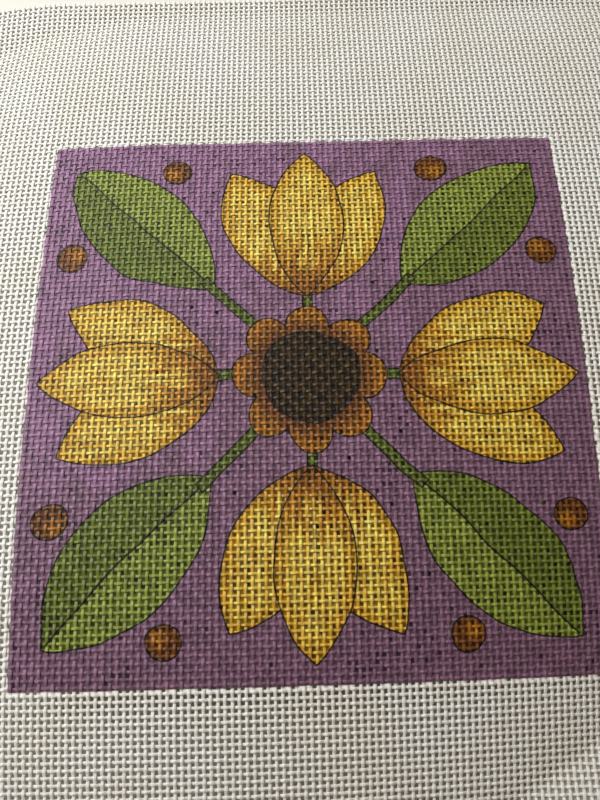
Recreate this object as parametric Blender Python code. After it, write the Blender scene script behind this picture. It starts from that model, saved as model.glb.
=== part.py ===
"""Needlepoint canvas panel: one square of open woven cotton canvas, lying loose in a low arch.

Metres, +Z up. The warp threads run along Y and the weft threads along X. The origin is on the
surface that the cloth lies on, under the middle of its bounding box. The far and near edges lie
flat on that surface, the middle stands off it, and the near right corner drops down to it.
"""

import math

import bmesh
import bpy
import numpy as np

# The weave, counted in threads.
THREAD_PITCH = 0.0254 / 18
PAINTED_COLUMNS = 87
PAINTED_ROWS = 90
SIDE_MARGIN_THREADS = 36
FAR_MARGIN_THREADS = 39
NEAR_MARGIN_THREADS = 36

# The flat cloth, and the height of a weft over a warp.
CLOTH_WIDTH = (PAINTED_COLUMNS + 2 * SIDE_MARGIN_THREADS) * THREAD_PITCH
CLOTH_LENGTH = (PAINTED_ROWS + FAR_MARGIN_THREADS + NEAR_MARGIN_THREADS) * THREAD_PITCH
CLOTH_THICKNESS = 0.0010

# The lie: the crest's place on the flat cloth, and how far the cloth drops from it to each side.
CREST_HEIGHT = 0.015
CREST_X = -0.030
CREST_Y = -0.020
FAR_DROP = 0.0162
NEAR_DROP = 0.017
LEFT_DROP = 0.006
CORNER_DROP = 0.020
LANDING = 0.0005

# The strips along the far and near edges that lie flat.
FAR_CONTACT = 0.0024
NEAR_CONTACT = 0.0035

# The scissor-cut edges wander a little: a long wave and a short one, with a phase for each edge.
LONG_WAVE = 0.094
LONG_WANDER = 0.00025
SHORT_WAVE = 0.041
SHORT_WANDER = 0.00015
LEFT_PHASE = 1.0
RIGHT_PHASE = 2.5
NEAR_PHASE = 4.0
FAR_PHASE = 0.3

# The mesh, and the steps that the lie is summed over.
CELLS_ACROSS = 28
CELLS_ALONG = 28
LIE_STEPS = 16
SLOPE_REACH = 0.0005
SHARP_ANGLE = math.radians(60)

CANVAS_COLOUR = (0.62, 0.58, 0.50, 1.0)
CANVAS_ROUGHNESS = 0.85


def clear_scene():
    for obj in list(bpy.data.objects):
        bpy.data.objects.remove(obj, do_unlink=True)


def height(x, y):
    """Height of the cloth's underside, at a point of the flat cloth."""
    along = y - CREST_Y
    across = x - CREST_X
    far_share = np.clip(along, 0.0, None) / (CLOTH_LENGTH / 2 - CREST_Y)
    near_share = np.clip(-along, 0.0, None) / (CLOTH_LENGTH / 2 + CREST_Y)
    left_share = np.clip(-across, 0.0, None) / (CLOTH_WIDTH / 2 + CREST_X)
    right_share = np.clip(across, 0.0, None) / (CLOTH_WIDTH / 2)
    nearness = 0.5 - y / CLOTH_LENGTH
    free = (
        CREST_HEIGHT
        - FAR_DROP * far_share**2
        - NEAR_DROP * near_share**2
        - LEFT_DROP * left_share**2
        - CORNER_DROP * right_share**2 * nearness**2
    )
    landing = (np.clip(free, -LANDING, LANDING) + LANDING) ** 2 / (4 * LANDING)
    return np.where(free > LANDING, free, landing)


def drawn_in(x, y, step_x, step_y):
    """Plan length of the cloth from its middle line to a point: less than flat where it slopes."""
    share = (np.arange(LIE_STEPS) + 0.5) / LIE_STEPS
    run = x if step_x else y
    total = np.zeros_like(run)
    for part in share:
        at_x = x * part if step_x else x
        at_y = y * part if step_y else y
        rise = height(at_x + step_x, at_y + step_y) - height(at_x - step_x, at_y - step_y)
        slope = rise / (2 * SLOPE_REACH)
        total += np.sqrt(1.0 - slope**2) / LIE_STEPS
    return run * total


def lie(x, y):
    """The place of a point of the flat cloth, on the underside of the lying one."""
    plan_x = drawn_in(x, y, SLOPE_REACH, 0.0)
    plan_y = drawn_in(x, y, 0.0, SLOPE_REACH)
    return np.stack([plan_x, plan_y, height(x, y)], axis=-1)


def wander(run, phase):
    """How far a cut edge strays from straight, along its run."""
    long_part = LONG_WANDER * np.sin(2 * math.pi * run / LONG_WAVE + phase)
    short_part = SHORT_WANDER * np.sin(2 * math.pi * run / SHORT_WAVE + 2 * phase)
    return long_part + short_part


def flat_grid():
    """Points of the flat cloth, row by row from the near edge, with its contact strips one cell wide."""
    stations_x = np.linspace(-1.0, 1.0, CELLS_ACROSS + 1)
    inner_y = np.linspace(
        -CLOTH_LENGTH / 2 + NEAR_CONTACT, CLOTH_LENGTH / 2 - FAR_CONTACT, CELLS_ALONG - 1
    )
    edges = [-CLOTH_LENGTH / 2], inner_y, [CLOTH_LENGTH / 2]
    stations_y = np.concatenate(edges) / (CLOTH_LENGTH / 2)
    share_x, share_y = np.meshgrid(stations_x, stations_y)
    straight_x = share_x * CLOTH_WIDTH / 2
    straight_y = share_y * CLOTH_LENGTH / 2
    side_phase = np.where(share_x < 0, LEFT_PHASE, RIGHT_PHASE)
    end_phase = np.where(share_y < 0, NEAR_PHASE, FAR_PHASE)
    x = straight_x + wander(straight_y, side_phase) * np.abs(share_x)
    y = straight_y + wander(straight_x, end_phase) * np.abs(share_y)
    return x, y


def canvas_mesh():
    """The closed sheet: its underside, then the same faces raised by the cloth's thickness."""
    underside = lie(*flat_grid())
    corners = underside.reshape(-1, 3)
    middle = (corners.min(axis=0) + corners.max(axis=0)) / 2
    underside[..., :2] -= middle[:2]

    mesh = bmesh.new()
    rows = [[mesh.verts.new(point) for point in row] for row in underside]
    for near, far in zip(rows, rows[1:]):
        for i in range(CELLS_ACROSS):
            mesh.faces.new((near[i], far[i], far[i + 1], near[i + 1]))
    raised = bmesh.ops.extrude_face_region(mesh, geom=mesh.faces[:], use_keep_orig=True)
    top = [item for item in raised["geom"] if isinstance(item, bmesh.types.BMVert)]
    bmesh.ops.translate(mesh, verts=top, vec=(0.0, 0.0, CLOTH_THICKNESS))
    bmesh.ops.recalc_face_normals(mesh, faces=mesh.faces[:])
    data = bpy.data.meshes.new("canvas")
    mesh.to_mesh(data)
    mesh.free()
    data.shade_smooth()
    data.set_sharp_from_angle(angle=SHARP_ANGLE)
    return data


def canvas_material():
    material = bpy.data.materials.new("canvas_cotton")
    material.use_nodes = True
    shader = material.node_tree.nodes["Principled BSDF"]
    shader.inputs["Base Color"].default_value = CANVAS_COLOUR
    shader.inputs["Roughness"].default_value = CANVAS_ROUGHNESS
    shader.inputs["Metallic"].default_value = 0.0
    return material


def build():
    clear_scene()
    canvas = bpy.data.objects.new("canvas", canvas_mesh())
    canvas.data.materials.append(canvas_material())
    bpy.context.scene.collection.objects.link(canvas)


build()
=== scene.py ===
"""Needlepoint canvas panel: its looks.

Every warp and weft thread is its own closed tube, woven one over one and laid along the cloth's
low arch. A film of sizing joins the threads, and in the painted square it fills most of the holes.
The paint is worked out in the materials, from each point's place on the flat cloth.

Lengths are in metres, and places on the painting are in threads from its middle.
"""

import math

import bpy
import numpy as np
from mathutils import Matrix, Vector

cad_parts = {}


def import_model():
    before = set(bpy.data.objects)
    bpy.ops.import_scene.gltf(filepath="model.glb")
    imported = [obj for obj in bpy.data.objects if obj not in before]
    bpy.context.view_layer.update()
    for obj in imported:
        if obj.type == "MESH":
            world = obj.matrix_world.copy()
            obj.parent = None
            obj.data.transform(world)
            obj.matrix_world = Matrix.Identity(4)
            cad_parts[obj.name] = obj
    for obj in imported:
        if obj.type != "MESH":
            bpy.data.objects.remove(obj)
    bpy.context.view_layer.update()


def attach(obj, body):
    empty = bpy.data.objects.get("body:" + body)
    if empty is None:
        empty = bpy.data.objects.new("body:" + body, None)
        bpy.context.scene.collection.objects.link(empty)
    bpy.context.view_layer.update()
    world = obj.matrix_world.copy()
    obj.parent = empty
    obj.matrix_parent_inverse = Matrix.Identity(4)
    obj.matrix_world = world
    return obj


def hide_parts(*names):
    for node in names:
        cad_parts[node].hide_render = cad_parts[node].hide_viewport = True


SEED = 18

# The weave, counted in threads, as in the part.
PITCH = 0.0254 / 18
PAINTED_COLUMNS = 87
PAINTED_ROWS = 90
SIDE_MARGIN = 36
FAR_MARGIN = 39
NEAR_MARGIN = 36
WARPS = PAINTED_COLUMNS + 2 * SIDE_MARGIN
WEFTS = PAINTED_ROWS + FAR_MARGIN + NEAR_MARGIN
WIDTH = WARPS * PITCH
LENGTH = WEFTS * PITCH
PAINTED_MIDDLE_Y = (NEAR_MARGIN - FAR_MARGIN) / 2 * PITCH
THICKNESS = 0.0010

# The lie, as in the part, and the least height that a thread's point has.
CREST_HEIGHT = 0.015
CREST_X = -0.030
CREST_Y = -0.020
FAR_DROP = 0.0162
NEAR_DROP = 0.017
LEFT_DROP = 0.006
CORNER_DROP = 0.020
LANDING = 0.0005
LIE_STEPS = 16
SLOPE_REACH = 0.0005
LOWEST = 0.00002

# The far left corner is drawn in: how far, and where that starts to the right and the near side.
CORNER_PULL = 0.0030
PULL_START = -0.066
PULL_WIDTH = 0.030
PULL_NEAR = 0.055

# The threads: how far one rises and falls at a crossing, half its height, and its half widths at a
# crossing and between two. It leans a little to one side and then the other between crossings.
CRIMP = 0.00021
HALF_HEIGHT = 0.00021
WARP_HALF_WIDTHS = (0.00035, 0.00030)
WEFT_HALF_WIDTHS = (0.00030, 0.00025)
WIDTH_SPREAD = 0.08
WARP_LEAN = 0.00003
WEFT_LEAN = 0.00001
THREAD_GROUPS = 4

# The longer waves that each thread strays sideways in, and how far.
SWAY = 0.00007
SWAY_WAVES = (0.083, 0.037, 0.019)

# The cut tips: how far they stand past the last crossing, in threads, and how much wider they are.
TIP_SHORTEST = 0.35
TIP_LONGEST = 0.70
TIP_SPLAY = 1.12

# The film of sizing inside the threads, with the warps' strips a little above the wefts'.
FILM_HALF_WIDTH = 0.000254
FILM_LAYER = 0.00002

# The paint in the holes: how far it starts from the threads' middle lines, how high it stands, and
# how far its middle sags.
PATCH_INSET = 0.00018
PATCH_LIFT = 0.00008
PATCH_SAG = 0.00007
SAG_SPREAD = (0.4, 1.4)

# The share of holes left open: at the painting's rim, and well inside it. Between them none are.
RIM_OPEN = 0.5
OPEN_HOLES = 0.012
OPEN_FROM_RIM = 9

# The largest share of holes painted dark, as open holes in shadow look, and how dark this painted shade
# is.
DARK_HOLE_SHARE = 0.24
DARK_HOLE_SHADE = 0.25

# The part of the bake map's height that a thread's end caps take.
MAP_EDGE = 0.002

# Colours, as seen in daylight.
CREAM = (240, 238, 232)
WARM_CREAM = (236, 232, 222)
PURPLE = (153, 118, 145)
PURPLE_PINK = (137, 106, 125)
YELLOW = (248, 220, 128)
GOLD = (222, 178, 82)
ORANGE = (186, 126, 48)
RUST = (128, 80, 42)
BROWN = (52, 37, 18)
UMBER = (80, 57, 28)
LEAF = (151, 161, 82)
LEAF_DARK = (110, 121, 56)
INK = (36, 30, 26)
FLOOR = (224, 218, 208)

# How deep light goes into the yarn, and how far its shading is flat rather than round.
YARN_GLOW = 0.0004
YARN_FLATNESS = 3.0

# How strongly the yarn and the film reflect.
YARN_SPECULAR = 0.35
FILM_SPECULAR = 0.25

# How rough bare cotton and bare sizing are, and how much smoother paint makes them.
YARN_ROUGHNESS = 0.66
FILM_ROUGHNESS = 0.72
PAINTED_YARN_SMOOTHER = 0.16
PAINTED_FILM_SMOOTHER = 0.2
FLOOR_ROUGHNESS = 0.9

# The yarn's twist: its strands, and the turns that they make from one crossing to the next.
STRANDS = 3.0
TWIST = 0.8
TWIST_RELIEF = 0.00002

# The paint's brightness where it is darkened, partly as thicker paint and partly as painted shade: on a
# thread's flanks, in a hole and in its middle, and how much of it comes and goes with the pools. The
# painted shade also makes the paint more saturated, and the lifts keep purple paler than other colours.
THICK_AND_SHADE_SATURATION = 1.2
FLANK_PAINT_AND_SHADE = 0.80
FLANK_PURPLE_LIFT = 0.12
HOLE_PAINT_SHADE = 0.22
HOLE_MIDDLE_SHADE = 0.16
HOLE_PURPLE_LIFT = 0.36
POOL_SPREAD = 0.24

# How far brush strokes change the paint's brightness, and fibres the yarn's.
STROKE_SPREAD = 0.36
STROKE_LOWEST = 0.82
FIBRE_SPREAD = 0.16
FIBRE_LOWEST = 0.88

# The brush and the pen: half the soft rim of a painted shape, a line's width, and how far both stray.
BRUSH_EDGE = 0.16
PEN_WIDTH = 0.20
VEIN_WIDTH = 0.16
MIDRIB_WIDTH = 0.26
WOBBLE = 1.1

# The painting's layout, in threads from its middle. A stem has the place of its middle and half its
# straight length, and a berry has its place along and beside the nearest middle line.
DIAGONAL = math.sqrt(0.5)
PETAL_ROOT = 14.0
PETAL_HALF_LENGTH = 14.0
PETAL_HALF_WIDTH = 6.2
SIDE_PETAL_HALF_LENGTH = 13.5
SIDE_PETAL_HALF_WIDTH = 6.4
SIDE_PETAL_TILT = math.radians(27)
LEAF_MIDDLE = 38.5
LEAF_HALF_LENGTH = 17.0
LEAF_HALF_WIDTH = 8.2
VEIN_SPACING = 4.2
STEM_HALF_WIDTH = 0.8
TULIP_STEM = (12.0, 4.0)
LEAF_STEM = (16.5, 6.5)
BERRY_PLACE = (38.6, 21.8)
BERRY_RADIUS = 2.5
SHINE_PLACE = (38.0, 22.5)
LOBE_MIDDLE = 8.6
LOBE_RADIUS = 3.5
DISC_RADIUS = 7.6
LATTICE_SPACING = 2.6
LATTICE_WIDTH = 0.6

# The stage: a floor, a window close enough to fall off across the cloth, and a soft sky.
FLOOR_SIDE = 3.0
FLOOR_DROP = 0.0001
WINDOW_PLACE = (-0.29, 0.199, 0.352)
WINDOW_AIM = (0.0, 0.0, 0.0)
WINDOW_SIDE = 0.40
WINDOW_POWER = 3.42
WINDOW_COLOUR = (0.921, 0.974, 1.0)
SKY_COLOUR = (1.0, 0.77, 0.58, 1.0)
SKY_STRENGTH = 0.21

# The camera, fitted to the photograph's thread counts.
CAMERA_PLACE = (-0.00243, -0.05356, 0.16538)
CAMERA_TILT = math.radians(90 - 73.014)
CAMERA_TURN = math.radians(-0.156)
CAMERA_ROLL = math.radians(-1.144)
FOCAL_LENGTH = 32.94
SENSOR_HEIGHT = 36.0


def linear(colour):
    """A colour of eight-bit steps as the linear one that shaders take."""
    steps = np.array(colour) / 255
    return tuple(np.where(steps <= 0.04045, steps / 12.92, ((steps + 0.055) / 1.055) ** 2.4)) + (1.0,)


# The lie of the cloth.


def height(x, y):
    """Height of the cloth's underside, at a point of the flat cloth."""
    along = y - CREST_Y
    across = x - CREST_X
    far_share = np.clip(along, 0.0, None) / (LENGTH / 2 - CREST_Y)
    near_share = np.clip(-along, 0.0, None) / (LENGTH / 2 + CREST_Y)
    left_share = np.clip(-across, 0.0, None) / (WIDTH / 2 + CREST_X)
    right_share = np.clip(across, 0.0, None) / (WIDTH / 2)
    nearness = 0.5 - y / LENGTH
    free = (
        CREST_HEIGHT
        - FAR_DROP * far_share**2
        - NEAR_DROP * near_share**2
        - LEFT_DROP * left_share**2
        - CORNER_DROP * right_share**2 * nearness**2
    )
    landing = (np.clip(free, -LANDING, LANDING) + LANDING) ** 2 / (4 * LANDING)
    return np.where(free > LANDING, free, landing)


def slope(x, y, step_x, step_y):
    """Rise of the cloth for each metre along it, in the direction of the step."""
    rise = height(x + step_x, y + step_y) - height(x - step_x, y - step_y)
    return rise / (2 * SLOPE_REACH)


def drawn_in(x, y, step_x, step_y):
    """Plan length of the cloth from its middle line to a point: less than flat where it slopes."""
    run = x if step_x else y
    total = np.zeros_like(run)
    for step in range(LIE_STEPS):
        share = (step + 0.5) / LIE_STEPS
        at_x = x * share if step_x else x
        at_y = y * share if step_y else y
        total += np.sqrt(1.0 - slope(at_x, at_y, step_x, step_y) ** 2) / LIE_STEPS
    return run * total


def smooth(share):
    """A smooth step from 0 to 1."""
    part = np.clip(share, 0.0, 1.0)
    return part * part * (3.0 - 2.0 * part)


def corner_pull(x, y):
    """How far the far left corner is drawn in towards the near edge."""
    toward_left = smooth((PULL_START - x) / PULL_WIDTH)
    toward_far = smooth((y - PULL_NEAR) / (LENGTH / 2 - PULL_NEAR))
    return CORNER_PULL * toward_left * toward_far


def lie(x, y, lift):
    """Points of the lying cloth: lift is how far each stands out from the middle of its thickness."""
    slope_x = slope(x, y, SLOPE_REACH, 0.0)
    slope_y = slope(x, y, 0.0, SLOPE_REACH)
    upright = np.sqrt(1.0 - slope_x**2 - slope_y**2)
    plan_x = drawn_in(x, y, SLOPE_REACH, 0.0) - slope_x * lift
    plan_y = drawn_in(x, y, 0.0, SLOPE_REACH) - slope_y * lift - corner_pull(x, y)
    up = height(x, y) + THICKNESS / 2 + upright * lift
    return np.stack([plan_x, plan_y, np.maximum(up, LOWEST)], axis=-1)


# Meshes.


def new_piece(name, points, faces, cloth, maps):
    """A mesh object, with each point's place on the painting and each corner's maps."""
    mesh = bpy.data.meshes.new(name)
    mesh.from_pydata(points.reshape(-1, 3), [], faces)
    place = mesh.attributes.new("cloth", "FLOAT_VECTOR", "POINT")
    place.data.foreach_set("vector", cloth.astype(np.float32).ravel())
    for map_name, corners in maps.items():
        layer = mesh.uv_layers.new(name=map_name)
        layer.uv.foreach_set("vector", corners.astype(np.float32).ravel())
    mesh.shade_smooth()
    piece = bpy.data.objects.new(name, mesh)
    bpy.context.scene.collection.objects.link(piece)
    return piece


def sway(rng, count, run):
    """How far each of count threads strays sideways along its run: three waves of its own."""
    total = np.zeros((count, len(run)))
    for wave in SWAY_WAVES:
        phase = rng.uniform(0, 2 * math.pi, (count, 1))
        reach = SWAY * rng.uniform(0.2, 1.0, (count, 1)) / len(SWAY_WAVES)
        total += reach * np.sin(2 * math.pi * run / wave + phase)
    return total


class Threads:
    """All threads of one direction: where each one's middle line runs on the flat cloth.

    They cross the other direction's threads, whose number is crossed. Threads and crossings are
    counted from 0, and a thread is on top where the two numbers add up to an even sum if over is 0,
    and to an odd one if it is 1.
    """

    def __init__(self, rng, count, crossed, half_widths, over, lean):
        self.count = count
        self.across = (np.arange(count) - (count - 1) / 2) * PITCH
        inner = np.arange(2 * crossed - 1) / 2
        tips = rng.uniform(TIP_SHORTEST, TIP_LONGEST, (count, 2))
        between_tips = np.tile(inner, (count, 1))
        self.station = np.concatenate([-tips[:, :1], between_tips, crossed - 1 + tips[:, 1:]], axis=1)
        self.along = (self.station - (crossed - 1) / 2) * PITCH
        nearest = np.rint(self.station)
        at_crossing = np.isclose(self.station, nearest)
        thread = np.arange(count)[:, None]
        side = np.where((thread + nearest) % 2 == over, 1.0, -1.0)
        self.rise = np.where(at_crossing, side * CRIMP, 0.0)
        stray = sway(rng, count, inner * PITCH)
        self.stray = np.concatenate([stray[:, :1], stray, stray[:, -1:]], axis=1)
        last_side = np.where((thread + np.floor(self.station)) % 2 == over, 1.0, -1.0)
        self.stray += np.where(at_crossing, 0.0, last_side * lean)
        wide, narrow = half_widths
        bulge = 1.0 + WIDTH_SPREAD * rng.uniform(-1, 1, self.station.shape)
        self.half_width = np.where(at_crossing, wide, narrow) * bulge
        self.half_width[:, [0, -1]] *= TIP_SPLAY


def ring_faces(threads, stations):
    """Quads of a row of four-sided tubes, with a cap at each end."""
    start = np.arange(threads)[:, None, None] * stations * 4
    ring = np.arange(stations - 1)[None, :, None] * 4
    side = np.arange(4)[None, None, :]
    following = (side + 1) % 4
    near, far = start + ring, start + ring + 4
    walls = np.stack([near + side, near + following, far + following, far + side], axis=-1)
    first = start[:, 0] + np.array([[3, 2, 1, 0]])
    last = start[:, 0] + (stations - 1) * 4 + np.array([[0, 1, 2, 3]])
    return walls, np.stack([first, last], axis=1)


def tube_maps(threads, stations, station):
    """The bake map, where each thread lies as two halves of four strips, and the map along the yarn."""
    half = (stations - 1) // 2
    ring = np.arange(stations - 1)
    block = 2 * np.arange(threads)[:, None] + (ring >= half)
    low = np.where(ring < half, ring, ring - half) / half
    high = low + 1.0 / half
    side = np.arange(4)
    strips = 4 * 2 * threads
    left = (4 * block[:, :, None] + side) / strips
    right = left + 1.0 / strips
    low = np.broadcast_to(low[None, :, None], left.shape)
    high = np.broadcast_to(high[None, :, None], left.shape)
    span = 1.0 - 2 * MAP_EDGE
    corners = [(left, low), (right, low), (right, high), (left, high)]
    bake = np.stack([np.stack([u, MAP_EDGE + span * v], axis=-1) for u, v in corners], axis=-2)
    cap_left = (4 * (2 * np.arange(threads)[:, None] + np.array([[0, 1]]))) / strips
    cap_right = cap_left + 4.0 / strips
    cap_low = np.array([[0.0, 1.0 - MAP_EDGE]]) + np.zeros_like(cap_left)
    cap_high = cap_low + MAP_EDGE
    cap_corners = [
        (cap_left, cap_low),
        (cap_right, cap_low),
        (cap_right, cap_high),
        (cap_left, cap_high),
    ]
    caps = np.stack([np.stack([u, v], axis=-1) for u, v in cap_corners], axis=-2)

    begin = np.broadcast_to(station[:, :-1, None], left.shape)
    end = np.broadcast_to(station[:, 1:, None], left.shape)
    turn = np.broadcast_to(side / 4, left.shape)
    yarn_corners = [(turn, begin), (turn + 0.25, begin), (turn + 0.25, end), (turn, end)]
    yarn = np.stack([np.stack([u, v], axis=-1) for u, v in yarn_corners], axis=-2)
    yarn_caps = np.zeros_like(caps)
    return {
        "OFBake": np.concatenate([bake.reshape(-1, 2), caps.reshape(-1, 2)]),
        "Yarn": np.concatenate([yarn.reshape(-1, 2), yarn_caps.reshape(-1, 2)]),
    }


def place_on_painting(x, y, side):
    """Threads from the painting's middle, and 1 on the upper side, 0 at the middle, -1 below."""
    return np.stack([x / PITCH, (y - PAINTED_MIDDLE_Y) / PITCH, side + 0 * x], axis=-1)


def thread_pieces(name, lines, along_y):
    """The threads of one direction, as a few pieces side by side."""
    ring_across = np.array([-1.0, -1.0, 1.0, 1.0])
    ring_up = np.array([-1.0, 1.0, 1.0, -1.0])
    if not along_y:
        ring_across = -ring_across
    middle = lines.across[:, None] + lines.stray
    across = middle[:, :, None] + lines.half_width[:, :, None] * ring_across
    along = lines.along[:, :, None] + 0 * across
    lift = lines.rise[:, :, None] + HALF_HEIGHT * ring_up + 0 * across
    x, y = (across, along) if along_y else (along, across)
    points = lie(x, y, lift)
    cloth = place_on_painting(x, y, ring_up)
    stations = lines.station.shape[1]
    pieces = []
    for number, chosen in enumerate(np.array_split(np.arange(lines.count), THREAD_GROUPS)):
        walls, caps = ring_faces(len(chosen), stations)
        faces = np.concatenate([walls.reshape(-1, 4), caps.reshape(-1, 4)])
        maps = tube_maps(len(chosen), stations, lines.station[chosen])
        pieces.append(new_piece(f"{name}_{number + 1}", points[chosen], faces, cloth[chosen], maps))
    return pieces


def ribbon_grid(lines):
    """The film along each thread: two points across it, at its tips and midway between crossings."""
    middle = lines.across[:, None] + lines.stray[:, ::2]
    across = middle[:, :, None] + FILM_HALF_WIDTH * np.array([-1, 1])
    along = lines.along[:, ::2, None] + 0 * across
    return across, along


def ribbon_faces(threads, stations, start):
    """Quads of flat ribbons whose points run in pairs, and each corner's place among them."""
    thread = np.arange(threads)[:, None]
    step = np.arange(stations - 1)[None, :]
    first = start + 2 * (thread * stations + step)
    faces = np.stack([first, first + 1, first + 3, first + 2], axis=-1)
    left, low = (thread + 0 * step) / threads, (step + 0 * thread) / (stations - 1)
    right, high = left + 1.0 / threads, low + 1.0 / (stations - 1)
    corners = np.stack([left, low, right, low, right, high, left, high], axis=-1)
    return faces.reshape(-1, 4), corners.reshape(-1, 4, 2)


def patches(rng, warps, wefts):
    """The filled holes of the painting: four corners and a sagging middle for each."""
    column = np.arange(SIDE_MARGIN - 1, SIDE_MARGIN + PAINTED_COLUMNS)
    row = np.arange(NEAR_MARGIN - 1, NEAR_MARGIN + PAINTED_ROWS)
    column, row = (grid.ravel() for grid in np.meshgrid(column, row))
    at_rim = (column < SIDE_MARGIN) | (column >= SIDE_MARGIN + PAINTED_COLUMNS - 1)
    at_rim |= (row < NEAR_MARGIN) | (row >= NEAR_MARGIN + PAINTED_ROWS - 1)
    well_inside = np.abs(column - WARPS / 2) < PAINTED_COLUMNS / 2 - OPEN_FROM_RIM
    middle_row = NEAR_MARGIN + PAINTED_ROWS / 2
    well_inside &= np.abs(row - middle_row) < PAINTED_ROWS / 2 - OPEN_FROM_RIM
    open_share = np.where(at_rim, RIM_OPEN, np.where(well_inside, OPEN_HOLES, 0.0))
    filled = rng.uniform(0, 1, len(column)) > open_share
    column, row = column[filled], row[filled]
    left, right = warps.across[column] + PATCH_INSET, warps.across[column + 1] - PATCH_INSET
    near, far = wefts.across[row] + PATCH_INSET, wefts.across[row + 1] - PATCH_INSET
    middle_x, middle_y = (left + right) / 2, (near + far) / 2
    x = np.stack([left, right, right, left, middle_x], axis=-1)
    y = np.stack([near, near, far, far, middle_y], axis=-1)
    sag = PATCH_SAG * rng.uniform(*SAG_SPREAD, len(column))
    lift = PATCH_LIFT + np.zeros_like(x)
    lift[:, 4] -= sag
    return x, y, lift


def patch_faces(count, start):
    """Four triangles round each patch's middle, and their corners on the map, patch by patch."""
    base = start + 5 * np.arange(count)[:, None, None]
    side = np.array([[0, 1, 4], [1, 2, 4], [2, 3, 4], [3, 0, 4]])
    across = math.ceil(math.sqrt(count / 2))
    along = math.ceil(count / across)
    column, row = np.arange(count) % across, np.arange(count) // across
    unit = np.array([[0, 0], [1, 0], [1, 1], [0, 1], [0.5, 0.5]])
    cell = np.stack([column, row], axis=-1)[:, None, :] + unit
    corners = (cell / (across, along))[:, side]
    return (base + side).reshape(-1, 3), corners.reshape(-1, 3, 2)


def film_piece(rng, warps, wefts):
    """The film of sizing inside all threads, and of paint in the holes, as one piece."""
    warp_across, warp_along = ribbon_grid(warps)
    weft_across, weft_along = ribbon_grid(wefts)
    patch_x, patch_y, patch_lift = patches(rng, warps, wefts)
    x = np.concatenate([warp_across.ravel(), weft_along.ravel(), patch_x.ravel()])
    y = np.concatenate([warp_along.ravel(), weft_across.ravel(), patch_y.ravel()])
    layers = np.repeat([FILM_LAYER, -FILM_LAYER], [warp_across.size, weft_across.size])
    lift = np.concatenate([layers, patch_lift.ravel()])

    warp_faces, warp_map = ribbon_faces(*warp_across.shape[:2], 0)
    weft_faces, weft_map = ribbon_faces(*weft_across.shape[:2], warp_across.size)
    fill_faces, fill_map = patch_faces(len(patch_x), warp_across.size + weft_across.size)
    weft_faces = weft_faces[:, ::-1]
    weft_map = weft_map[:, ::-1]
    warp_map = warp_map * (0.25, 1.0)
    weft_map = weft_map * (0.25, 1.0) + (0.25, 0.0)
    fill_map = fill_map * (0.5, 1.0) + (0.5, 0.0)
    faces = warp_faces.tolist() + weft_faces.tolist() + fill_faces.tolist()
    corners = np.concatenate([part.reshape(-1, 2) for part in (warp_map, weft_map, fill_map)])
    cloth = place_on_painting(x, y, 0.0)
    return new_piece("sizing_film", lie(x, y, lift), faces, cloth, {"OFBake": corners})


# Numbers that vary over a surface, written as shader nodes.


class Field:
    """A shader value. Arithmetic on it adds the nodes that work it out."""

    def __init__(self, tree, socket):
        self.tree = tree
        self.socket = socket

    def node(self, operation, *sources):
        node = self.tree.nodes.new("ShaderNodeMath")
        node.operation = operation
        for socket, source in zip(node.inputs, sources):
            feed(self.tree, socket, source)
        return Field(self.tree, node.outputs[0])

    def __add__(self, other):
        return self.node("ADD", self, other)

    def __sub__(self, other):
        return self.node("SUBTRACT", self, other)

    def __rsub__(self, other):
        return self.node("SUBTRACT", other, self)

    def __mul__(self, other):
        return self.node("MULTIPLY", self, other)

    def __truediv__(self, other):
        return self.node("DIVIDE", self, other)

    def __abs__(self):
        return self.node("ABSOLUTE", self)

    def smaller(self, other):
        return self.node("MINIMUM", self, other)

    def larger(self, other):
        return self.node("MAXIMUM", self, other)

    def sine(self):
        return self.node("SINE", self)

    def fraction(self):
        return self.node("FRACT", self)

    def repeated(self, span):
        """Distance to the nearest multiple of span, with its sign."""
        return self.node("WRAP", self, -span / 2, span / 2)


def feed(tree, socket, source):
    """Joins a field to a socket, or sets the socket to a number or a colour."""
    if isinstance(source, Field):
        tree.links.new(source.socket, socket)
    else:
        socket.default_value = source


def length(x, y):
    """Distance from the origin."""
    squares = x * x + y * y
    return squares.node("SQRT", squares)


def mixed(factor, first, second):
    """The first colour where factor is 0, and the second where it is 1."""
    node = factor.tree.nodes.new("ShaderNodeMix")
    node.data_type = "RGBA"
    feed(factor.tree, node.inputs["Factor"], factor)
    feed(factor.tree, node.inputs[6], first)
    feed(factor.tree, node.inputs[7], second)
    return Field(factor.tree, node.outputs[2])


def shaded(colour, strength):
    """A colour multiplied by a number."""
    node = strength.tree.nodes.new("ShaderNodeVectorMath")
    node.operation = "SCALE"
    if isinstance(colour, Field):
        feed(strength.tree, node.inputs[0], colour)
    else:
        node.inputs[0].default_value = colour[:3]
    feed(strength.tree, node.inputs["Scale"], strength)
    return Field(strength.tree, node.outputs[0])


def thickened_and_shaded(colour, value, purple_lift):
    """Paint made darker and more saturated, partly as thicker paint and partly as painted shade. Purple
    stays paler by its lift.
    """
    parts = colour.tree.nodes.new("ShaderNodeSeparateColor")
    feed(colour.tree, parts.inputs[0], colour)
    green, blue = Field(colour.tree, parts.outputs[1]), Field(colour.tree, parts.outputs[2])
    purple_share = ramp(blue - green, 0.0, 0.05)
    node = colour.tree.nodes.new("ShaderNodeHueSaturation")
    node.inputs["Saturation"].default_value = THICK_AND_SHADE_SATURATION
    feed(colour.tree, node.inputs["Value"], purple_share * purple_lift + value)
    feed(colour.tree, node.inputs["Color"], colour)
    return Field(colour.tree, node.outputs[0])


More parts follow.
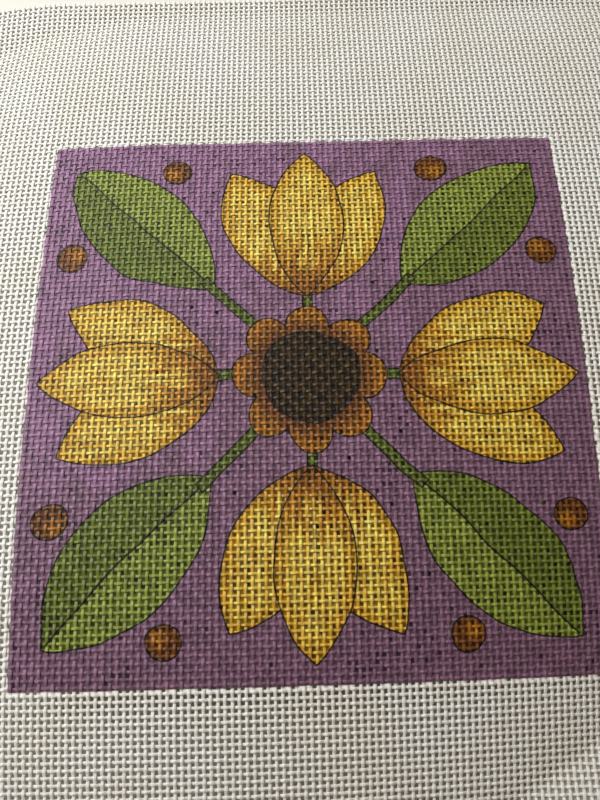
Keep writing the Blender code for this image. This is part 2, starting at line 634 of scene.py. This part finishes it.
def chance(x, y):
    """One even random value for each whole number of x and y."""
    tree = x.tree
    place = tree.nodes.new("ShaderNodeCombineXYZ")
    feed(tree, place.inputs[0], x.node("FLOOR", x))
    feed(tree, place.inputs[1], y.node("FLOOR", y))
    node = tree.nodes.new("ShaderNodeTexWhiteNoise")
    node.noise_dimensions = "2D"
    tree.links.new(place.outputs[0], node.inputs["Vector"])
    return Field(tree, node.outputs["Value"])


def noise(x, y, scale, detail=2.0, seed=0.0):
    """Soft random values about 0.5, scale of them to a thread."""
    tree = x.tree
    place = tree.nodes.new("ShaderNodeCombineXYZ")
    feed(tree, place.inputs[0], x)
    feed(tree, place.inputs[1], y)
    feed(tree, place.inputs[2], seed)
    node = tree.nodes.new("ShaderNodeTexNoise")
    node.inputs["Scale"].default_value = scale
    node.inputs["Detail"].default_value = detail
    tree.links.new(place.outputs[0], node.inputs["Vector"])
    return Field(tree, node.outputs["Fac"])


def ramp(field, low, high):
    """0 below low, 1 above high, and a smooth step between."""
    node = field.tree.nodes.new("ShaderNodeMapRange")
    node.interpolation_type = "SMOOTHSTEP"
    feed(field.tree, node.inputs["Value"], field)
    feed(field.tree, node.inputs["From Min"], low)
    feed(field.tree, node.inputs["From Max"], high)
    return Field(field.tree, node.outputs[0])


def split_attribute(tree, name):
    """The three numbers of a mesh attribute."""
    source = tree.nodes.new("ShaderNodeAttribute")
    source.attribute_name = name
    parts = tree.nodes.new("ShaderNodeSeparateXYZ")
    tree.links.new(source.outputs["Vector"], parts.inputs[0])
    return [Field(tree, output) for output in parts.outputs]


# The painting: a generic folk layout of four tulips, four leaves, a rosette and eight berries.


def lens(along, across, middle, half_length, half_width):
    """Distance to the edge of a pointed oval about the line across = 0, below 0 inside it."""
    radius = (half_length**2 + half_width**2) / (2 * half_width)
    return length(along - middle, abs(across) + (radius - half_width)) - radius


def painted_over(ground, edge, colour):
    """Paints a shape over the ground, with a pen line round it. Edge is below 0 inside the shape."""
    with_shape = mixed(ramp(0.0 - edge, -BRUSH_EDGE, BRUSH_EDGE), ground, colour)
    return mixed(drawn(abs(edge)), with_shape, linear(INK))


def drawn(distance, width=PEN_WIDTH):
    """1 on a pen line and 0 off it."""
    return 1.0 - ramp(distance, width / 2 - 0.05, width / 2 + 0.10)


def petal(ground, along, across, half_length, half_width, streaks):
    """One petal: rust and orange at its root, yellow towards its tip, with gold streaks along it."""
    edge = lens(along, across, half_length, half_length, half_width)
    tip_share = along / (2 * half_length)
    fade = ramp(tip_share + (streaks - 0.5) * 0.6, 0.06, 0.48)
    rim = ramp(0.0 - edge, 0.3, 2.6)
    colour = mixed(fade, linear(ORANGE), linear(GOLD))
    colour = mixed(fade * rim * ramp(streaks, 0.30, 0.60), colour, linear(YELLOW))
    colour = mixed((1.0 - ramp(tip_share, 0.02, 0.24)) * 0.6, colour, linear(RUST))
    vein = drawn(abs(across), 0.18) * ramp(0.62 - tip_share, 0.0, 0.25) * ramp(tip_share, 0.1, 0.2)
    return painted_over(ground, edge, mixed(vein * 0.55, colour, linear(RUST)))


def tulips(ground, long, short, streaks):
    """Four tulips on the middle lines, each of two leaning petals behind an upright one."""
    upright = long - PETAL_ROOT
    along = upright * math.cos(SIDE_PETAL_TILT) + short * math.sin(SIDE_PETAL_TILT)
    across = short * math.cos(SIDE_PETAL_TILT) - upright * math.sin(SIDE_PETAL_TILT)
    leaning = petal(ground, along, across, SIDE_PETAL_HALF_LENGTH, SIDE_PETAL_HALF_WIDTH, streaks)
    return petal(leaning, upright, short, PETAL_HALF_LENGTH, PETAL_HALF_WIDTH, streaks)


def leaves(ground, diagonal, aside, mottle):
    """Four leaves on the diagonals, with a midrib and side veins, one half lighter."""
    edge = lens(diagonal, aside, LEAF_MIDDLE, LEAF_HALF_LENGTH, LEAF_HALF_WIDTH)
    half = ramp(aside, -0.15, 0.15)
    green = mixed(half * 0.75 + (mottle - 0.5) * 0.5, linear(LEAF), linear(LEAF_DARK))
    ribs = (diagonal - abs(aside) * 0.9).repeated(VEIN_SPACING)
    veins = drawn(abs(ribs), VEIN_WIDTH) * ramp(0.0 - edge, 0.4, 1.4) * 0.5
    green = mixed(veins, green, linear(LEAF_DARK))
    midrib = drawn(abs(aside), MIDRIB_WIDTH) * ramp(0.0 - edge, 0.2, 0.8)
    return painted_over(ground, edge, mixed(midrib, green, linear(INK)))


def stems(ground, long, short, diagonal, aside):
    """The short stalks that join the tulips and the leaves to the rosette."""
    to_tulip = abs(short).larger(abs(long - TULIP_STEM[0]) - TULIP_STEM[1])
    to_leaf = abs(aside).larger(abs(diagonal - LEAF_STEM[0]) - LEAF_STEM[1])
    return painted_over(ground, to_tulip.smaller(to_leaf) - STEM_HALF_WIDTH, linear(LEAF_DARK))


def berries(ground, long, short):
    """Eight round berries between the tulips and the leaves."""
    edge = length(long - BERRY_PLACE[0], short - BERRY_PLACE[1]) - BERRY_RADIUS
    past_shine = ramp(length(long - SHINE_PLACE[0], short - SHINE_PLACE[1]), 0.4, 1.9)
    return painted_over(ground, edge, mixed(past_shine, linear(ORANGE), linear(RUST)))


def rosette(ground, long, short, diagonal, aside, x, y):
    """The middle: eight orange lobes round a brown disc with a paler lattice."""
    lobes = length(long - LOBE_MIDDLE, short).smaller(length(diagonal - LOBE_MIDDLE, aside))
    from_middle = length(x, y)
    ring = ramp(from_middle, 8.0, 11.6)
    ground = painted_over(ground, lobes - LOBE_RADIUS, mixed(ring, linear(RUST), linear(ORANGE)))
    turned_x = ((x + y) * DIAGONAL).repeated(LATTICE_SPACING)
    turned_y = ((x - y) * DIAGONAL).repeated(LATTICE_SPACING)
    lattice = drawn(abs(turned_x).smaller(abs(turned_y)), LATTICE_WIDTH)
    brown = mixed(lattice * 0.8, linear(BROWN), linear(UMBER))
    return painted_over(ground, from_middle - DISC_RADIUS, brown)


def painting(x, y):
    """The paint's colour, at a place on the painting."""
    bent_x = x + (noise(x, y, 0.09, detail=1.0, seed=3.0) - 0.5) * (2 * WOBBLE)
    bent_y = y + (noise(x, y, 0.09, detail=1.0, seed=7.0) - 0.5) * (2 * WOBBLE)
    beside, beyond = abs(bent_x), abs(bent_y)
    long, short = beside.larger(beyond), beside.smaller(beyond)
    diagonal, aside = (beside + beyond) * DIAGONAL, (beside - beyond) * DIAGONAL
    mottle = noise(x, y, 0.16, detail=2.0, seed=11.0)
    streaks = noise(long * 0.16, short * 1.2, 1.0, detail=2.0, seed=5.0)

    strokes = noise(x * 0.25, y * 0.05, 1.0, detail=2.0, seed=12.0)
    # The tone is random mottle and strokes, and its drift with x - y is a painted sheen: the purple is
    # lighter towards the far left, where the window is.
    tone = ramp((mottle - 0.5) * 0.9 + (strokes - 0.5) * 1.2 + (x - y) * 0.006, -0.36, 0.10)
    colour = mixed(tone, linear(PURPLE), linear(PURPLE_PINK))
    colour = leaves(colour, diagonal, aside, mottle)
    colour = stems(colour, long, short, diagonal, aside)
    colour = tulips(colour, long, short, streaks)
    colour = berries(colour, long, short)
    colour = rosette(colour, long, short, diagonal, aside, bent_x, bent_y)
    washed = noise(x * 0.8, y * 0.35, 1.0, detail=2.0, seed=2.0)
    return shaded(colour, ramp(washed, 0.34, 0.66) * STROKE_SPREAD + STROKE_LOWEST)


def painted_square(x, y):
    """1 on the painted square and 0 off it, with a rim that strays a little."""
    stray = (noise(x, y, 0.5, seed=9.0) - 0.5) * 0.5
    past_side = abs(x) - PAINTED_COLUMNS / 2
    past_end = abs(y) - PAINTED_ROWS / 2
    return 1.0 - ramp(past_side.larger(past_end) + stray, -0.1, 0.1)


# Materials.


def new_material(name):
    """A material, its nodes and its shader."""
    material = bpy.data.materials.new(name)
    material.use_nodes = True
    return material, material.node_tree, material.node_tree.nodes["Principled BSDF"]


def flattened_normal(tree):
    """Between a rounded surface and its flat faces, as on yarn that sizing and a press have flattened."""
    surface = tree.nodes.new("ShaderNodeNewGeometry")
    both = tree.nodes.new("ShaderNodeVectorMath")
    both.operation = "MULTIPLY_ADD"
    tree.links.new(surface.outputs["True Normal"], both.inputs[0])
    both.inputs[1].default_value = (YARN_FLATNESS, YARN_FLATNESS, YARN_FLATNESS)
    tree.links.new(surface.outputs["Normal"], both.inputs[2])
    even = tree.nodes.new("ShaderNodeVectorMath")
    even.operation = "NORMALIZE"
    tree.links.new(both.outputs[0], even.inputs[0])
    return even.outputs[0]


def add_bump(tree, shader, level, reach):
    """Fine relief on the flattened yarn, reach deep where level is 1."""
    node = tree.nodes.new("ShaderNodeBump")
    node.inputs["Distance"].default_value = reach
    feed(tree, node.inputs["Height"], level)
    tree.links.new(flattened_normal(tree), node.inputs["Normal"])
    tree.links.new(node.outputs[0], shader.inputs["Normal"])


def thread_material():
    """Sized cotton yarn, with acrylic paint on it in the painted square.

    Turn runs from 0 to 1 round a thread, and its upper side is the second quarter. Run counts the
    crossings along it.
    """
    material, tree, shader = new_material("painted_cotton_thread")
    x, y, side = split_attribute(tree, "cloth")
    yarn = tree.nodes.new("ShaderNodeUVMap")
    yarn.uv_map = "Yarn"
    turn_and_run = tree.nodes.new("ShaderNodeSeparateXYZ")
    tree.links.new(yarn.outputs[0], turn_and_run.inputs[0])
    turn, run = (Field(tree, output) for output in turn_and_run.outputs[:2])

    strands = ((turn * STRANDS + run * TWIST) * (2 * math.pi)).sine()
    fibres = noise(turn * 14.0, run * 2.5 + x * 0.7, 1.0, detail=2.0, seed=1.0)
    soft_tone = noise(x, y, 0.07, detail=1.0, seed=4.0)
    cotton = mixed(ramp(soft_tone, 0.3, 0.7), linear(CREAM), linear(WARM_CREAM))
    soak = ramp(side + (noise(x, y, 0.45, detail=1.0, seed=6.0) - 0.5) * 1.3, -1.35, -0.35)
    coverage = painted_square(x, y) * soak
    # Painted shade: the paint is darker and more saturated on a thread's flanks than on its crown, partly
    # as thicker paint there.
    crown = ramp(abs(turn * 4.0 - 1.5), 0.55, 0.1)
    paint = painting(x, y)
    paint = mixed(crown, thickened_and_shaded(paint, FLANK_PAINT_AND_SHADE, FLANK_PURPLE_LIFT), paint)
    colour = mixed(coverage, cotton, paint)
    colour = shaded(colour, ramp(fibres, 0.2, 0.7) * FIBRE_SPREAD + FIBRE_LOWEST)
    tree.links.new(colour.socket, shader.inputs["Base Color"])
    feed(tree, shader.inputs["Roughness"], YARN_ROUGHNESS - coverage * PAINTED_YARN_SMOOTHER)
    shader.inputs["Specular IOR Level"].default_value = YARN_SPECULAR
    shader.inputs["Subsurface Weight"].default_value = 1.0
    shader.inputs["Subsurface Radius"].default_value = (1.0, 1.0, 1.0)
    shader.inputs["Subsurface Scale"].default_value = YARN_GLOW
    add_bump(tree, shader, strands, TWIST_RELIEF)
    return material


def film_material():
    """Dried sizing, and paint in the holes, darkened there as painted shade, with some holes painted dark
    as open holes in shadow.
    """
    material, tree, shader = new_material("sizing_and_paint_film")
    x, y, _ = split_attribute(tree, "cloth")
    painted = painted_square(x, y)
    pools = noise(x, y, 1.1, detail=1.0, seed=8.0)
    # Painted shade in the holes: the paint there is much darker than on the threads, darker still in a
    # hole's middle, and it varies with the pools.
    hole_middle = 1.0 - ramp(length(x.fraction() - 0.5, (y + 0.5).fraction() - 0.5), 0.08, 0.36)
    hole_shade = ramp(pools, 0.35, 0.65) * POOL_SPREAD + HOLE_PAINT_SHADE - hole_middle * HOLE_MIDDLE_SHADE
    shaded_hole_paint = thickened_and_shaded(painting(x, y), hole_shade, HOLE_PURPLE_LIFT - hole_middle * 0.02)
    # Some holes are painted dark, as open holes in shadow look; filled is 0 on them.
    dark_hole_places = ramp(noise(x, y, 0.13, detail=1.0, seed=13.0), 0.50, 0.66)
    filled = ramp(chance(x, y + 0.5) - dark_hole_places * DARK_HOLE_SHARE, 0.0, 0.01)
    shaded_hole_paint = shaded(shaded_hole_paint, filled * (1.0 - DARK_HOLE_SHADE) + DARK_HOLE_SHADE)
    colour = mixed(painted, linear(WARM_CREAM), shaded_hole_paint)
    tree.links.new(colour.socket, shader.inputs["Base Color"])
    feed(tree, shader.inputs["Roughness"], FILM_ROUGHNESS - painted * PAINTED_FILM_SMOOTHER)
    shader.inputs["Specular IOR Level"].default_value = FILM_SPECULAR
    return material


def floor_material():
    """A pale matt floor with a faint mottle."""
    material, tree, shader = new_material("pale_floor")
    place = tree.nodes.new("ShaderNodeTexCoord")
    parts = tree.nodes.new("ShaderNodeSeparateXYZ")
    tree.links.new(place.outputs["Object"], parts.inputs[0])
    x, y = (Field(tree, output) for output in parts.outputs[:2])
    tone = noise(x, y, 60.0, detail=4.0)
    colour = shaded(linear(FLOOR), tone * 0.06 + 0.95)
    tree.links.new(colour.socket, shader.inputs["Base Color"])
    shader.inputs["Roughness"].default_value = FLOOR_ROUGHNESS
    return material


# The stage.


def add_floor():
    """A plain square floor, just under the cloth."""
    mesh = bpy.data.meshes.new("floor")
    side = FLOOR_SIDE / 2
    corners = [(-side, -side), (side, -side), (side, side), (-side, side)]
    mesh.from_pydata([(x, y, -FLOOR_DROP) for x, y in corners], [], [(0, 1, 2, 3)])
    floor = bpy.data.objects.new("floor", mesh)
    mesh.materials.append(floor_material())
    bpy.context.scene.collection.objects.link(floor)
    return floor


def add_light(name, place, aim, side, power, colour):
    """A square soft light that faces a point."""
    light = bpy.data.lights.new(name, "AREA")
    light.shape = "SQUARE"
    light.size = side
    light.energy = power
    light.color = colour
    lamp = bpy.data.objects.new(name, light)
    toward = np.array(aim) - np.array(place)
    lamp.location = place
    lamp.rotation_euler = Vector(toward).to_track_quat("-Z", "Y").to_euler()
    bpy.context.scene.collection.objects.link(lamp)


def add_lights():
    """Window light from the far left, and a soft warm sky."""
    add_light("window", WINDOW_PLACE, WINDOW_AIM, WINDOW_SIDE, WINDOW_POWER, WINDOW_COLOUR)
    world = bpy.data.worlds.new("soft_sky")
    world.use_nodes = True
    sky = world.node_tree.nodes["Background"]
    sky.inputs["Color"].default_value = SKY_COLOUR
    sky.inputs["Strength"].default_value = SKY_STRENGTH
    bpy.context.scene.world = world


def add_camera():
    """The camera over the cloth's near part, where the photograph was taken from."""
    data = bpy.data.cameras.new("camera")
    data.sensor_fit = "VERTICAL"
    data.sensor_height = SENSOR_HEIGHT
    data.lens = FOCAL_LENGTH
    data.clip_start = 0.01
    data.clip_end = 20.0
    camera = bpy.data.objects.new("camera", data)
    turn = Matrix.Rotation(CAMERA_TURN, 4, "Z")
    tilt = Matrix.Rotation(CAMERA_TILT, 4, "X")
    roll = Matrix.Rotation(CAMERA_ROLL, 4, "Z")
    camera.matrix_world = Matrix.Translation(CAMERA_PLACE) @ turn @ tilt @ roll
    bpy.context.scene.collection.objects.link(camera)
    bpy.context.scene.camera = camera


def main():
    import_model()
    bpy.context.scene.view_settings.view_transform = "Standard"
    add_camera()
    add_lights()
    floor = add_floor()

    rng = np.random.default_rng(SEED)
    warps = Threads(rng, WARPS, WEFTS, WARP_HALF_WIDTHS, 0, WARP_LEAN)
    wefts = Threads(rng, WEFTS, WARPS, WEFT_HALF_WIDTHS, 1, WEFT_LEAN)
    threads = thread_pieces("warp", warps, True) + thread_pieces("weft", wefts, False)
    film = film_piece(rng, warps, wefts)
    cotton = thread_material()
    for piece in threads:
        piece.data.materials.append(cotton)
    film.data.materials.append(film_material())
    for piece in [film, *threads]:
        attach(piece, "root")
        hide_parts("canvas")


main()
